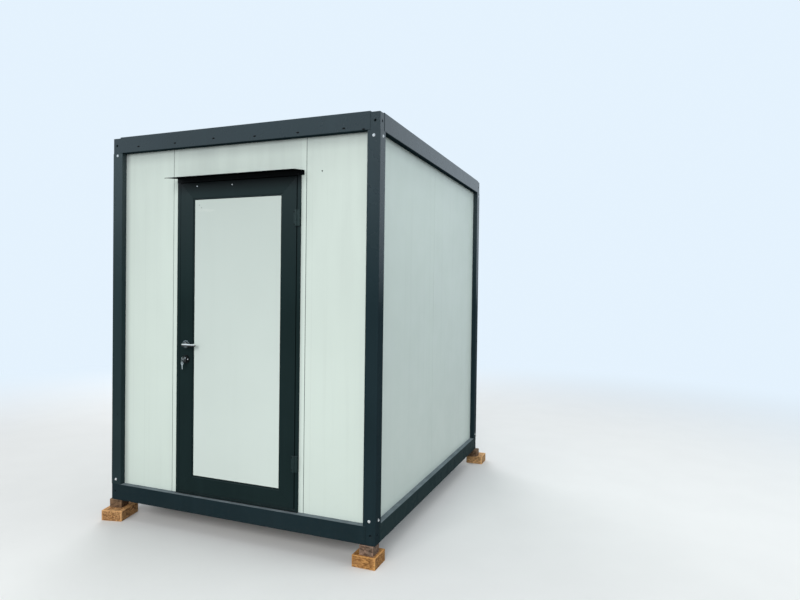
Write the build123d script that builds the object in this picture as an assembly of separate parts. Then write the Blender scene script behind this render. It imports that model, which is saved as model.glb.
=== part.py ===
from build123d import *
import os

# Portable site cabin: a bolted frame of folded steel sections with sandwich panel walls,
# a ribbed roof, one side-hinged outward door with a hood over it, and four stacks of
# timber blocks under the corners.
# Millimetres, +Z up. The front, with the door, faces -Y. The origin lies on the ground
# under the middle of the cabin.

# Overall frame
CABIN_WIDTH = 2013.0
CABIN_DEPTH = 2365.0
FRAME_HEIGHT = 2510.0

# Frame members
POST_SIZE = 82.0
FRAME_SHEET = 3.0
FOLD_RADIUS = 5.0
RAIL_HEIGHT = 110.0
RAIL_DEPTH = 65.0
CORNER_SETBACK = 2.0
CORNER_DROP = 7.0
CORNER_HOLE_RADIUS = 8.0
CORNER_HOLE_DEPTH = 20.0
CORNER_HOLE_POINT = 4.6
CORNER_HOLE_RISE = 57.0

# Walls, with a tongue and groove at each joint
WALL_RECESS = 38.0
WALL_THICKNESS = 40.0
PANEL_GAP = 2.0
TONGUE_WIDTH = 14.0
TONGUE_LENGTH = 10.0
TONGUE_CLEARANCE = 1.0
SIDE_JOINT_FROM_FRONT = 1130.0

# Floor and roof
FLOOR_THICKNESS = 21.0
JOIST_WIDTH = 50.0
JOIST_COUNT = 4
JOIST_CLEARANCE = 2.0
ROOF_THICKNESS = 60.0
ROOF_CLEARANCE = 2.0
ROOF_RIB_COUNT = 7
ROOF_RIB_HEIGHT = 32.0
ROOF_RIB_FOOT = 62.0
ROOF_RIB_CROWN = 24.0

# Door frame, set in a bay between two wall joints
DOOR_CENTRE = 0.0
DOOR_FRAME_WIDTH = 944.0
STRIP_BESIDE_DOOR = 35.0
WALL_OVER_DOOR = 197.0
DOOR_FRAME_PROUD = 4.0
JAMB_FACE = 25.0
HEAD_FACE = 28.0
SILL_FACE = 12.0
STOP_WIDTH = 15.0
STOP_DEPTH = 14.0

# Door leaf
LEAF_PROUD = 3.0
LEAF_THICKNESS = 50.0
LEAF_GAP = 5.0
LEAF_MEMBER = 110.0
BEAD_WIDTH = 9.0
BEAD_DEPTH = 4.0
INFILL_RECESS = 6.0
INFILL_THICKNESS = 36.0

# Hinges
HINGE_HEIGHT = 98.0
HINGE_KNUCKLE_RADIUS = 8.0
HINGE_PIN_RADIUS = 4.0
HINGE_PIN_CLEARANCE = 0.05
HINGE_KNUCKLE_GAP = 1.0
HINGE_AXIS_OUT = 9.5
HINGE_FLAP_THICKNESS = 4.0
HINGE_FLAP_LEAF = 18.0
HINGE_FLAP_JAMB = 22.0
HINGE_TOP_DROP = 255.0
HINGE_BOTTOM_RISE = 280.0

# Hood over the door, level with its frame on the lock side and past it on the hinge side
HOOD_OVERHANG = 21.0
HOOD_LEG = 30.0
HOOD_REACH = 123.0
HOOD_DROP = 16.0
HOOD_SHEET = 2.0
HOOD_LIP = 4.0
HOOD_FOLD = 3.0
HOOD_CLEARANCE = 5.0

# Lever handle and lock
HANDLE_BACKSET = 53.0
HANDLE_RISE = 978.0
LOCK_DROP = 98.0
ROSE_RADIUS = 27.0
ROSE_THICKNESS = 8.0
LEVER_RADIUS = 9.5
LEVER_REACH = 38.0
LEVER_ROOT = 6.0
LEVER_LENGTH = 102.0
LEVER_RETURN = 18.0
LEVER_CLEARANCE = 0.08
LOCK_HEAD_RADIUS = 8.5
LOCK_STEM_WIDTH = 10.0
LOCK_HEIGHT = 33.0
LOCK_OUT = 4.0

# Key in the lock
KEY_THICKNESS = 2.5
KEY_NECK_WIDTH = 9.0
KEY_NECK_LENGTH = 8.0
KEY_BOW_RADIUS = 12.0
KEY_HOLE_RADIUS = 3.0
KEY_HOLE_FROM_RIM = 5.5

# Timber blocks, two under each corner
UPPER_BLOCK_SIZE = 90.0
UPPER_BLOCK_HEIGHT = 60.0
LOWER_BLOCK_SIZE = 150.0
LOWER_BLOCK_HEIGHT = 70.0
LONG_BLOCK_LENGTH = 200.0
SIDE_OVERHANG = 75.0
LONG_BLOCK_TURN = 13.0
LONG_BLOCK_OUT_X = 60.0
LONG_BLOCK_OUT_Y = 70.0
NEAR_BLOCK_OUT_X = 8.0
NEAR_BLOCK_OUT_Y = 18.0
UPPER_BLOCK_OUT_X = 30.0
UPPER_BLOCK_OUT_Y = 6.0
NEAR_UPPER_BLOCK_IN_X = 10.0

# Derived planes, all seen from the origin
STACK = UPPER_BLOCK_HEIGHT + LOWER_BLOCK_HEIGHT
LEFT = -CABIN_WIDTH / 2
RIGHT = CABIN_WIDTH / 2
FRONT = -CABIN_DEPTH / 2
REAR = CABIN_DEPTH / 2
FRAME_BOTTOM = STACK
FRAME_TOP = STACK + FRAME_HEIGHT
FLOOR_TOP = FRAME_BOTTOM + RAIL_HEIGHT
WALL_TOP = FRAME_TOP - RAIL_HEIGHT
WALL_FACE = FRONT + WALL_RECESS
WALL_BACK = WALL_FACE + WALL_THICKNESS

FRAME_FACE = WALL_FACE - DOOR_FRAME_PROUD
DOOR_LEFT = DOOR_CENTRE - DOOR_FRAME_WIDTH / 2
DOOR_RIGHT = DOOR_CENTRE + DOOR_FRAME_WIDTH / 2
DOOR_TOP = WALL_TOP - WALL_OVER_DOOR
BAY_WIDTH = DOOR_FRAME_WIDTH + 2 * STRIP_BESIDE_DOOR

LEAF_FACE = FRAME_FACE - LEAF_PROUD
LEAF_BACK = LEAF_FACE + LEAF_THICKNESS
LEAF_LEFT = DOOR_LEFT + JAMB_FACE + LEAF_GAP
LEAF_RIGHT = DOOR_RIGHT - JAMB_FACE - LEAF_GAP
LEAF_BOTTOM = FLOOR_TOP + SILL_FACE + LEAF_GAP
LEAF_TOP = DOOR_TOP - HEAD_FACE - LEAF_GAP
STOP_FACE = LEAF_BACK + LEAF_GAP
DOOR_FRAME_BACK = STOP_FACE + STOP_DEPTH

HINGE_X = LEAF_RIGHT + LEAF_GAP / 2
HINGE_Y = LEAF_FACE - HINGE_AXIS_OUT
HANDLE_X = LEAF_LEFT + HANDLE_BACKSET
HANDLE_Z = LEAF_BOTTOM + HANDLE_RISE
LOCK_Z = HANDLE_Z - LOCK_DROP
KEY_Z = LOCK_Z + LOCK_HEIGHT / 2 - LOCK_HEAD_RADIUS
HOOD_OUT = HOOD_REACH + DOOR_FRAME_PROUD - WALL_RECESS

os.makedirs("parts", exist_ok=True)


def save(name, shapes):
    """Write one node from a solid or from a list of solids that don't touch."""
    if isinstance(shapes, list):
        shapes = Compound(children=shapes)
    export_step(shapes, f"parts/{name}.step")


def slab(x0, x1, y0, y1, z0, z1):
    """A block between two corners."""
    centre = ((x0 + x1) / 2, (y0 + y1) / 2, (z0 + z1) / 2)
    return Pos(*centre) * Box(x1 - x0, y1 - y0, z1 - z0)


def side_profile(points, x0, x1):
    """Extrude an outline given as (y, z) points from x0 to x1."""
    outline = make_face(Polyline(*[(x0, y, z) for y, z in points], close=True))
    return extrude(outline, amount=x1 - x0, dir=(1, 0, 0))


def front_profile(points, y0, y1):
    """Extrude an outline given as (x, z) points from y0 to y1."""
    outline = make_face(Polyline(*[(x, y0, z) for x, z in points], close=True))
    return extrude(outline, amount=y1 - y0, dir=(0, 1, 0))


def plan_profile(points, z0, z1):
    """Extrude an outline given as (x, y) points from z0 to z1."""
    outline = make_face(Polyline(*[(x, y, z0) for x, y in points], close=True))
    return extrude(outline, amount=z1 - z0, dir=(0, 0, 1))


def mirrored(shape, side_x, side_y):
    """Carry a piece of the left front corner over to another corner."""
    if side_x > 0:
        shape = mirror(shape, about=Plane.YZ)
    if side_y > 0:
        shape = mirror(shape, about=Plane.XZ)
    return shape


CORNERS = {
    "front_left": (-1, -1),
    "front_right": (1, -1),
    "rear_left": (-1, 1),
    "rear_right": (1, 1),
}


def corner_post():
    """Square hollow post, folded from sheet, standing between two corner blocks."""
    room = POST_SIZE - 2 * FRAME_SHEET
    section = RectangleRounded(POST_SIZE, POST_SIZE, FOLD_RADIUS)
    section -= Rectangle(room, room)
    foot = Pos(LEFT + POST_SIZE / 2, FRONT + POST_SIZE / 2, FLOOR_TOP)
    return foot * extrude(section, amount=WALL_TOP - FLOOR_TOP)


def drilled_hole():
    """A blind hole along Z that runs down from its mouth at the origin, with a drill's point."""
    shaft = Pos(0, 0, -CORNER_HOLE_DEPTH / 2) * Cylinder(CORNER_HOLE_RADIUS, CORNER_HOLE_DEPTH)
    point_middle = -CORNER_HOLE_DEPTH - CORNER_HOLE_POINT / 2
    point = Pos(0, 0, point_middle) * Cone(0, CORNER_HOLE_RADIUS, CORNER_HOLE_POINT)
    return shaft + point


def corner_block(z0, z1, hole_z):
    """Corner piece with one bolt hole in each of its two outer faces."""
    near = CORNER_SETBACK
    block = slab(LEFT + near, LEFT + RAIL_DEPTH, FRONT + near, FRONT + RAIL_DEPTH, z0, z1)
    block = chamfer(block.edges().filter_by(Axis.Z).sort_by(Axis.X)[0:1], CORNER_SETBACK)
    middle = (near + RAIL_DEPTH) / 2
    block -= Pos(LEFT + middle, FRONT + near, hole_z) * Rot(90, 0, 0) * drilled_hole()
    block -= Pos(LEFT + near, FRONT + middle, hole_z) * Rot(0, -90, 0) * drilled_hole()
    return block


def cross_rail(z0):
    """Rail along the front, between two corner blocks."""
    ends = (LEFT + RAIL_DEPTH, RIGHT - RAIL_DEPTH)
    bar = slab(*ends, FRONT, FRONT + RAIL_DEPTH, z0, z0 + RAIL_HEIGHT)
    bar = fillet(bar.edges().filter_by(Axis.X).group_by(Axis.Y)[0], FOLD_RADIUS)
    return offset(bar, amount=-FRAME_SHEET, openings=bar.faces().sort_by(Axis.Y)[-1])


def side_rail(z0):
    """Rail along the left side, between two corner blocks."""
    ends = (FRONT + RAIL_DEPTH, REAR - RAIL_DEPTH)
    bar = slab(LEFT, LEFT + RAIL_DEPTH, *ends, z0, z0 + RAIL_HEIGHT)
    bar = fillet(bar.edges().filter_by(Axis.Y).group_by(Axis.X)[0], FOLD_RADIUS)
    return offset(bar, amount=-FRAME_SHEET, openings=bar.faces().sort_by(Axis.X)[-1])


def make_frame():
    top_blocks, bottom_blocks = [], []
    for name, sides in CORNERS.items():
        save(f"post_{name}", mirrored(corner_post(), *sides))
        upper = corner_block(WALL_TOP, FRAME_TOP - CORNER_DROP, FRAME_TOP - CORNER_HOLE_RISE)
        lower = corner_block(FRAME_BOTTOM, FLOOR_TOP, FRAME_BOTTOM + CORNER_HOLE_RISE)
        top_blocks.append(mirrored(upper, *sides))
        bottom_blocks.append(mirrored(lower, *sides))
    save("top_corner_blocks", top_blocks)
    save("bottom_corner_blocks", bottom_blocks)
    for level, z0 in (("top", WALL_TOP), ("bottom", FRAME_BOTTOM)):
        save(f"{level}_rail_front", cross_rail(z0))
        save(f"{level}_rail_rear", mirrored(cross_rail(z0), -1, 1))
        save(f"{level}_rail_left", side_rail(z0))
        save(f"{level}_rail_right", mirrored(side_rail(z0), 1, -1))


def joist(y_centre):
    """Channel from side rail to side rail, standing on their lower flanges."""
    height = RAIL_HEIGHT - FRAME_SHEET - FLOOR_THICKNESS
    room = Rectangle(JOIST_WIDTH - FRAME_SHEET, height - 2 * FRAME_SHEET)
    section = Rectangle(JOIST_WIDTH, height) - Pos(FRAME_SHEET / 2, 0) * room
    foot = FRAME_BOTTOM + FRAME_SHEET + height / 2
    end = RIGHT - FRAME_SHEET - JOIST_CLEARANCE
    start = Plane(origin=(-end, y_centre, foot), x_dir=(0, 1, 0), z_dir=(1, 0, 0))
    return extrude(start * section, amount=2 * end)


def make_floor():
    inner_x = (LEFT + RAIL_DEPTH, RIGHT - RAIL_DEPTH)
    inner_y = (FRONT + RAIL_DEPTH, REAR - RAIL_DEPTH)
    save("floor_deck", slab(*inner_x, *inner_y, FLOOR_TOP - FLOOR_THICKNESS, FLOOR_TOP))
    pitch = (inner_y[1] - inner_y[0]) / (JOIST_COUNT + 1)
    save("floor_joists", [joist(inner_y[0] + pitch * (n + 1)) for n in range(JOIST_COUNT)])


def roof_profile(half_width, z0):
    """Outline of a roof panel seen from the front: flat below, trapezoid ribs on top."""
    top = z0 + ROOF_THICKNESS
    pitch = 2 * half_width / ROOF_RIB_COUNT
    points = [(-half_width, z0), (-half_width, top)]
    for index in range(ROOF_RIB_COUNT):
        middle = -half_width + pitch * (index + 0.5)
        points += [
            (middle - ROOF_RIB_FOOT / 2, top),
            (middle - ROOF_RIB_CROWN / 2, top + ROOF_RIB_HEIGHT),
            (middle + ROOF_RIB_CROWN / 2, top + ROOF_RIB_HEIGHT),
            (middle + ROOF_RIB_FOOT / 2, top),
        ]
    return points + [(half_width, top), (half_width, z0)]


def make_roof():
    """Ribbed panel that lies on the lower flanges of the top rails, notched at the corners."""
    edge = FRAME_SHEET + ROOF_CLEARANCE
    notch = RAIL_DEPTH + FRAME_SHEET + ROOF_CLEARANCE
    z0 = WALL_TOP + FRAME_SHEET
    panel = front_profile(roof_profile(RIGHT - edge, z0), FRONT + edge, REAR - edge)
    for side_x, side_y in CORNERS.values():
        corner = slab(LEFT, LEFT + notch, FRONT, FRONT + notch, WALL_TOP, FRAME_TOP)
        panel -= mirrored(corner, side_x, side_y)
    save("roof_panel", panel)


def wall_panel(x0, x1, grooved, tongued):
    """Full-height panel lying along X with its outer face on Y 0, seen from outside."""
    middle = WALL_THICKNESS / 2
    panel = slab(x0, x1, 0, WALL_THICKNESS, FLOOR_TOP, WALL_TOP)
    if grooved:
        half = TONGUE_WIDTH / 2 + TONGUE_CLEARANCE
        depth = TONGUE_LENGTH + TONGUE_CLEARANCE
        panel -= slab(x0, x0 + depth, middle - half, middle + half, FLOOR_TOP, WALL_TOP)
    if tongued:
        half = TONGUE_WIDTH / 2
        panel += slab(x1, x1 + TONGUE_LENGTH, middle - half, middle + half, FLOOR_TOP, WALL_TOP)
    return panel


def on_side(panel, cabin_span, angle):
    """Turn a wall panel from the front to a side that faces outwards at this angle."""
    return Rot(0, 0, angle) * Pos(0, WALL_RECESS - cabin_span / 2, 0) * panel


def make_front_wall():
    """Two full panels and a door bay, which is split beside and over the door."""
    bay = (DOOR_CENTRE - BAY_WIDTH / 2, DOOR_CENTRE + BAY_WIDTH / 2)
    half_gap = PANEL_GAP / 2
    panels = {
        "front_wall_left": (LEFT + POST_SIZE, bay[0] - half_gap, False, True),
        "front_wall_right": (bay[1] + half_gap, RIGHT - POST_SIZE, True, False),
    }
    for name, size in panels.items():
        save(name, on_side(wall_panel(*size), CABIN_DEPTH, 0))
    beside_lock = wall_panel(bay[0] + half_gap, DOOR_LEFT, True, False)
    beside_hinges = wall_panel(DOOR_RIGHT, bay[1] - half_gap, False, True)
    save("front_wall_beside_door", [on_side(p, CABIN_DEPTH, 0) for p in (beside_lock, beside_hinges)])
    over = slab(DOOR_LEFT, DOOR_RIGHT, WALL_FACE, WALL_BACK, DOOR_TOP, WALL_TOP)
    save("front_wall_over_door", over)


def make_side_walls():
    joint = FRONT + SIDE_JOINT_FROM_FRONT
    half_gap = PANEL_GAP / 2
    ends = (FRONT + POST_SIZE, REAR - POST_SIZE)
    panels = {
        "left_wall_rear": (-90, wall_panel(-ends[1], -joint - half_gap, False, True)),
        "left_wall_front": (-90, wall_panel(-joint + half_gap, -ends[0], True, False)),
        "right_wall_front": (90, wall_panel(ends[0], joint - half_gap, False, True)),
        "right_wall_rear": (90, wall_panel(joint + half_gap, ends[1], True, False)),
    }
    for name, (angle, panel) in panels.items():
        save(name, on_side(panel, CABIN_WIDTH, angle))


def make_rear_wall():
    joint = BAY_WIDTH / 2
    half_gap = PANEL_GAP / 2
    panels = {
        "rear_wall_right": (LEFT + POST_SIZE, -joint - half_gap, False, True),
        "rear_wall_middle": (-joint + half_gap, joint - half_gap, True, True),
        "rear_wall_left": (joint + half_gap, RIGHT - POST_SIZE, True, False),
    }
    for name, size in panels.items():
        save(name, on_side(wall_panel(*size), CABIN_DEPTH, 180))


def jamb(outer_x, sign):
    """Side of the door frame with the stop that the leaf closes against."""
    points = [
        (0, FRAME_FACE),
        (JAMB_FACE, FRAME_FACE),
        (JAMB_FACE, STOP_FACE),
        (JAMB_FACE + STOP_WIDTH, STOP_FACE),
        (JAMB_FACE + STOP_WIDTH, DOOR_FRAME_BACK),
        (0, DOOR_FRAME_BACK),
    ]
    return plan_profile([(outer_x + sign * x, y) for x, y in points], FLOOR_TOP, DOOR_TOP)


def frame_crosspiece(outer_z, sign, face):
    """Head or sill of the door frame, between the two sides."""
    points = [
        (FRAME_FACE, 0),
        (FRAME_FACE, face),
        (STOP_FACE, face),
        (STOP_FACE, face + STOP_WIDTH),
        (DOOR_FRAME_BACK, face + STOP_WIDTH),
        (DOOR_FRAME_BACK, 0),
    ]
    outline = [(y, outer_z + sign * z) for y, z in points]
    piece = side_profile(outline, DOOR_LEFT, DOOR_RIGHT)
    for outer_x, side in ((DOOR_LEFT, 1), (DOOR_RIGHT, -1)):
        piece -= jamb(outer_x, side)
    return piece


def make_door_frame():
    save("door_jamb_lock_side", jamb(DOOR_LEFT, 1))
    save("door_jamb_hinge_side", jamb(DOOR_RIGHT, -1))
    save("door_head", frame_crosspiece(DOOR_TOP, -1, HEAD_FACE))
    save("door_sill", frame_crosspiece(FLOOR_TOP, 1, SILL_FACE))


def mitred_member(corner_a, corner_b, inner_a, inner_b, bead_a, bead_b):
    """Leaf member between two mitres, with a lower bead along its inner edge."""
    body = front_profile([corner_a, corner_b, bead_b, bead_a], LEAF_FACE, LEAF_BACK)
    bead = front_profile([bead_a, bead_b, inner_b, inner_a], LEAF_FACE + BEAD_DEPTH, LEAF_BACK)
    return body + bead


def inset_corners(inset):
    """The four corners of the leaf outline, moved in by a distance."""
    x0 = LEAF_LEFT + inset
    x1 = LEAF_RIGHT - inset
    z0 = LEAF_BOTTOM + inset
    z1 = LEAF_TOP - inset
    return [(x0, z0), (x1, z0), (x1, z1), (x0, z1)]


def make_door_leaf():
    outer = inset_corners(0)
    bead = inset_corners(LEAF_MEMBER - BEAD_WIDTH)
    inner = inset_corners(LEAF_MEMBER)
    names = ["leaf_bottom_rail", "leaf_hinge_stile", "leaf_top_rail", "leaf_lock_stile"]
    for index, name in enumerate(names):
        after = (index + 1) % len(names)
        ends = (outer[index], outer[after], inner[index], inner[after])
        save(name, mitred_member(*ends, bead[index], bead[after]))
    (x0, z0), (x1, z1) = inner[0], inner[2]
    front = LEAF_FACE + INFILL_RECESS
    save("leaf_infill", slab(x0, x1, front, front + INFILL_THICKNESS, z0, z1))


def upright_tube(radius, z0, z1):
    return Pos(HINGE_X, HINGE_Y, (z0 + z1) / 2) * Cylinder(radius, z1 - z0)


def hinge_leaf_half(z_centre):
    """Flap on the leaf with the middle knuckle."""
    half = HINGE_HEIGHT / 2
    third = HINGE_HEIGHT / 6 - HINGE_KNUCKLE_GAP / 2
    x0 = LEAF_RIGHT - HINGE_FLAP_LEAF
    flap = slab(x0, LEAF_RIGHT, LEAF_FACE - HINGE_FLAP_THICKNESS, LEAF_FACE, z_centre - half, z_centre + half)
    room = HINGE_KNUCKLE_RADIUS + HINGE_KNUCKLE_GAP
    for low, high in ((-half, -third), (third, half)):
        flap -= upright_tube(room, z_centre + low - 1, z_centre + high + 1)
    half_solid = flap + upright_tube(HINGE_KNUCKLE_RADIUS, z_centre - third, z_centre + third)
    bore = upright_tube(HINGE_PIN_RADIUS + HINGE_PIN_CLEARANCE, z_centre - half, z_centre + half)
    return half_solid - bore


def hinge_jamb_half(z_centre):
    """Flap on the door frame with the two outer knuckles and the pin."""
    half = HINGE_HEIGHT / 2
    third = HINGE_HEIGHT / 6 + HINGE_KNUCKLE_GAP / 2
    x0 = DOOR_RIGHT - JAMB_FACE
    flap = slab(x0, x0 + HINGE_FLAP_JAMB, HINGE_Y, FRAME_FACE, z_centre - half, z_centre + half)
    flap -= upright_tube(HINGE_KNUCKLE_RADIUS + HINGE_KNUCKLE_GAP, z_centre - third, z_centre + third)
    solid = flap
    for low, high in ((-half, -third), (third, half)):
        solid += upright_tube(HINGE_KNUCKLE_RADIUS, z_centre + low, z_centre + high)
    return solid + upright_tube(HINGE_PIN_RADIUS, z_centre - half, z_centre + half)


def make_hinges():
    heights = (LEAF_TOP - HINGE_TOP_DROP, LEAF_BOTTOM + HINGE_BOTTOM_RISE)
    save("hinge_leaf_halves", [hinge_leaf_half(z) for z in heights])
    save("hinge_jamb_halves", [hinge_jamb_half(z) for z in heights])


def make_hood():
    """Folded sheet: a leg on the door frame, a plate that slopes outwards and a drip lip."""
    leg_bottom = LEAF_TOP + HOOD_CLEARANCE
    leg_top = leg_bottom + HOOD_LEG
    back = FRAME_FACE
    front = FRAME_FACE - HOOD_REACH
    edge = leg_top - HOOD_DROP
    ends = (DOOR_LEFT, DOOR_RIGHT + HOOD_OVERHANG)
    points = [
        (back, leg_bottom),
        (back, leg_top),
        (front, edge),
        (front, edge - HOOD_LIP),
        (front + HOOD_SHEET, edge - HOOD_LIP),
        (front + HOOD_SHEET, edge - HOOD_SHEET),
        (back - HOOD_SHEET, leg_top - HOOD_SHEET),
        (back - HOOD_SHEET, leg_bottom),
    ]
    hood = side_profile(points, *ends)
    inner_fold = HOOD_FOLD - HOOD_SHEET
    for index, radius in ((1, HOOD_FOLD), (2, HOOD_FOLD), (5, inner_fold), (6, inner_fold)):
        fold = hood.edges().filter_by(Axis.X).sort_by_distance((0, *points[index]))[0]
        hood = fillet(fold, radius)
    save("door_hood", hood)


def lever(rose_face, out):
    """Round bar lever with mitred corners: neck, grip and an end that returns to the leaf."""
    root = (HANDLE_X, rose_face - out * LEVER_ROOT, HANDLE_Z)
    elbow = (HANDLE_X, rose_face + out * LEVER_REACH, HANDLE_Z)
    turn = (HANDLE_X + LEVER_LENGTH, rose_face + out * LEVER_REACH, HANDLE_Z)
    end = (HANDLE_X + LEVER_LENGTH, rose_face + out * (LEVER_REACH - LEVER_RETURN), HANDLE_Z)
    section = Plane(origin=root, z_dir=(0, out, 0)) * Circle(LEVER_RADIUS)
    return sweep(section, path=Polyline(root, elbow, turn, end), transition=Transition.RIGHT)


def on_leaf(section, face, out, z_centre, thickness):
    """Extrude a section outwards from one face of the leaf."""
    plane = Plane(origin=(HANDLE_X, face, z_centre), x_dir=(-out, 0, 0), z_dir=(0, out, 0))
    return extrude(plane * section, amount=thickness)


def lock_section():
    """Outline of a profile cylinder: a round head over a narrow stem with a round foot."""
    head = LOCK_HEIGHT / 2 - LOCK_HEAD_RADIUS
    foot = LOCK_STEM_WIDTH / 2 - LOCK_HEIGHT / 2
    stem = Pos(0, (head + foot) / 2) * Rectangle(LOCK_STEM_WIDTH, head - foot)
    return Pos(0, head) * Circle(LOCK_HEAD_RADIUS) + stem + Pos(0, foot) * Circle(LOCK_STEM_WIDTH / 2)


def lock_key():
    """Key pushed home in the outer cylinder, upright, with a round bow."""
    mouth = LEAF_FACE - ROSE_THICKNESS - LOCK_OUT
    bow_y = mouth - KEY_NECK_LENGTH - KEY_BOW_RADIUS
    hole_y = bow_y - KEY_BOW_RADIUS + KEY_HOLE_FROM_RIM
    neck = Pos((mouth + bow_y) / 2, KEY_Z) * Rectangle(mouth - bow_y, KEY_NECK_WIDTH)
    outline = neck + Pos(bow_y, KEY_Z) * Circle(KEY_BOW_RADIUS)
    outline -= Pos(hole_y, KEY_Z) * Circle(KEY_HOLE_RADIUS)
    face = Plane(origin=(HANDLE_X - KEY_THICKNESS / 2, 0, 0), x_dir=(0, 1, 0), z_dir=(1, 0, 0))
    return extrude(face * outline, amount=KEY_THICKNESS)


def make_handle_and_lock():
    sides = {"outer": (LEAF_FACE, -1), "inner": (LEAF_BACK, 1)}
    lever_rose = Circle(ROSE_RADIUS) - Circle(LEVER_RADIUS + LEVER_CLEARANCE)
    lock_rose = Circle(ROSE_RADIUS) - lock_section()
    lever_roses, lock_roses, cylinders = [], [], []
    for name, (face, out) in sides.items():
        save(f"lever_{name}", lever(face + out * ROSE_THICKNESS, out))
        lever_roses.append(on_leaf(lever_rose, face, out, HANDLE_Z, ROSE_THICKNESS))
        lock_roses.append(on_leaf(lock_rose, face, out, LOCK_Z, ROSE_THICKNESS))
        cylinders.append(on_leaf(lock_section(), face, out, LOCK_Z, ROSE_THICKNESS + LOCK_OUT))
    save("lever_roses", lever_roses)
    save("lock_roses", lock_roses)
    save("lock_cylinders", cylinders)
    save("lock_key", lock_key())


def block(size_x, size_y, z0, z1, turn=0.0):
    """A timber offcut, turned about its upright axis."""
    return Rot(0, 0, turn) * slab(-size_x / 2, size_x / 2, -size_y / 2, size_y / 2, z0, z1)


def seat(piece, left=None, right=None, front=None, rear=None):
    """Move a block until its outermost points reach the given planes."""
    box = piece.bounding_box()
    shift_x = left - box.min.X if left is not None else right - box.max.X
    shift_y = front - box.min.Y if front is not None else rear - box.max.Y
    return Pos(shift_x, shift_y, 0) * piece


def make_blocks():
    """Two timber offcuts under each corner, the front left pair turned."""
    low = (0, LOWER_BLOCK_HEIGHT)
    high = (LOWER_BLOCK_HEIGHT, STACK)
    back = REAR + HOOD_OUT
    lower = block(LOWER_BLOCK_SIZE, LOWER_BLOCK_SIZE, *low)
    long = block(LOWER_BLOCK_SIZE, LONG_BLOCK_LENGTH, *low, LONG_BLOCK_TURN)
    save("lower_blocks", [
        seat(long, left=LEFT - LONG_BLOCK_OUT_X, front=FRONT - LONG_BLOCK_OUT_Y),
        seat(lower, right=RIGHT + NEAR_BLOCK_OUT_X, front=FRONT - NEAR_BLOCK_OUT_Y),
        seat(lower, left=LEFT - SIDE_OVERHANG, rear=back),
        seat(lower, right=RIGHT + SIDE_OVERHANG, rear=back),
    ])
    upper = block(UPPER_BLOCK_SIZE, UPPER_BLOCK_SIZE, *high)
    turned = block(UPPER_BLOCK_SIZE, UPPER_BLOCK_SIZE, *high, LONG_BLOCK_TURN)
    save("upper_blocks", [
        seat(turned, left=LEFT - UPPER_BLOCK_OUT_X, front=FRONT - UPPER_BLOCK_OUT_Y),
        seat(upper, right=RIGHT - NEAR_UPPER_BLOCK_IN_X, front=FRONT - UPPER_BLOCK_OUT_Y),
        seat(upper, left=LEFT - UPPER_BLOCK_OUT_X, rear=REAR + UPPER_BLOCK_OUT_Y),
        seat(upper, right=RIGHT + UPPER_BLOCK_OUT_X, rear=REAR + UPPER_BLOCK_OUT_Y),
    ])


make_frame()
make_floor()
make_roof()
make_front_wall()
make_side_walls()
make_rear_wall()
make_door_frame()
make_door_leaf()
make_hinges()
make_hood()
make_handle_and_lock()
make_blocks()
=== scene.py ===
import bpy
import bmesh
import math
import random
from mathutils import Matrix, Vector, noise


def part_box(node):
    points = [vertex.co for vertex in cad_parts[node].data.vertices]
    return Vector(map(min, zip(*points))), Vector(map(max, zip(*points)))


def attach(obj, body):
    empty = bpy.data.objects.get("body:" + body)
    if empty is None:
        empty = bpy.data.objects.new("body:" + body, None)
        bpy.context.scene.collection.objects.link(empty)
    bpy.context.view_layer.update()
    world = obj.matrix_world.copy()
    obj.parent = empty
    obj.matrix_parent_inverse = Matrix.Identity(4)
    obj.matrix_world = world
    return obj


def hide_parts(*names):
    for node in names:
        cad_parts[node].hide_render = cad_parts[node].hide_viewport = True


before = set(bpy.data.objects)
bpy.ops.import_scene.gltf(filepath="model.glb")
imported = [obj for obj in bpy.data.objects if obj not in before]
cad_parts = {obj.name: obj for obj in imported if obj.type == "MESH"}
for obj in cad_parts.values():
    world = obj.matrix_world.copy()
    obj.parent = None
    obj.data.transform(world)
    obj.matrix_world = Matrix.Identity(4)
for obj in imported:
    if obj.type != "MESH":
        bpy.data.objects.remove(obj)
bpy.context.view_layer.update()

# Planes of the cabin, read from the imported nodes. Metres, the front faces -Y.
LEFT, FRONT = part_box("top_rail_left")[0].x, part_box("top_rail_front")[0].y
RIGHT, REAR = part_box("top_rail_right")[1].x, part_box("top_rail_rear")[1].y
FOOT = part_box("bottom_rail_front")[0].z
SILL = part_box("bottom_rail_front")[1].z
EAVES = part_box("top_rail_front")[0].z
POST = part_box("post_front_left")[1].x - LEFT
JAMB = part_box("door_jamb_hinge_side")[1].x
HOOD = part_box("door_hood")[0].z
LEAF_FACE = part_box("leaf_top_rail")[0].y
LEAF_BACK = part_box("leaf_top_rail")[1].y


# ---------------------------------------------------------------- materials

def rgb(red, green, blue):
    """An 8-bit screen colour as the linear colour that the shaders take."""
    def linear(value):
        value /= 255
        return value / 12.92 if value <= 0.04045 else ((value + 0.055) / 1.055) ** 2.4
    return (linear(red), linear(green), linear(blue), 1.0)


def shade(colour, factor):
    """A colour made darker or lighter."""
    return (*(min(c * factor, 1.0) for c in colour[:3]), 1.0)


ANTHRACITE = rgb(31, 45, 50)
DOOR_TONE = rgb(28, 41, 42)
OFF_WHITE = rgb(210, 223, 216)
# Blue-grey of settled dust on paint, which also serves as a painted sky sheen on its top faces.
DUST_AND_SHEEN = rgb(150, 162, 168)
MUD_ON_PAINT = rgb(112, 98, 80)
MUD_ON_SHEET = rgb(138, 122, 98)
# Grey of the painted shade on the sheets.
SHADE_ON_SHEET = rgb(132, 140, 140)
BACKDROP = (0.78, 0.89, 0.99, 1.0)

# Paint is dull up to the first height and at its glossiest at the second.
DULL_TO, GLOSSY_AT = 1.45, EAVES + 0.1
GROWTH_RING = 0.009
SCUFF_X, SCUFF_Z = -0.2405, 2.117


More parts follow.
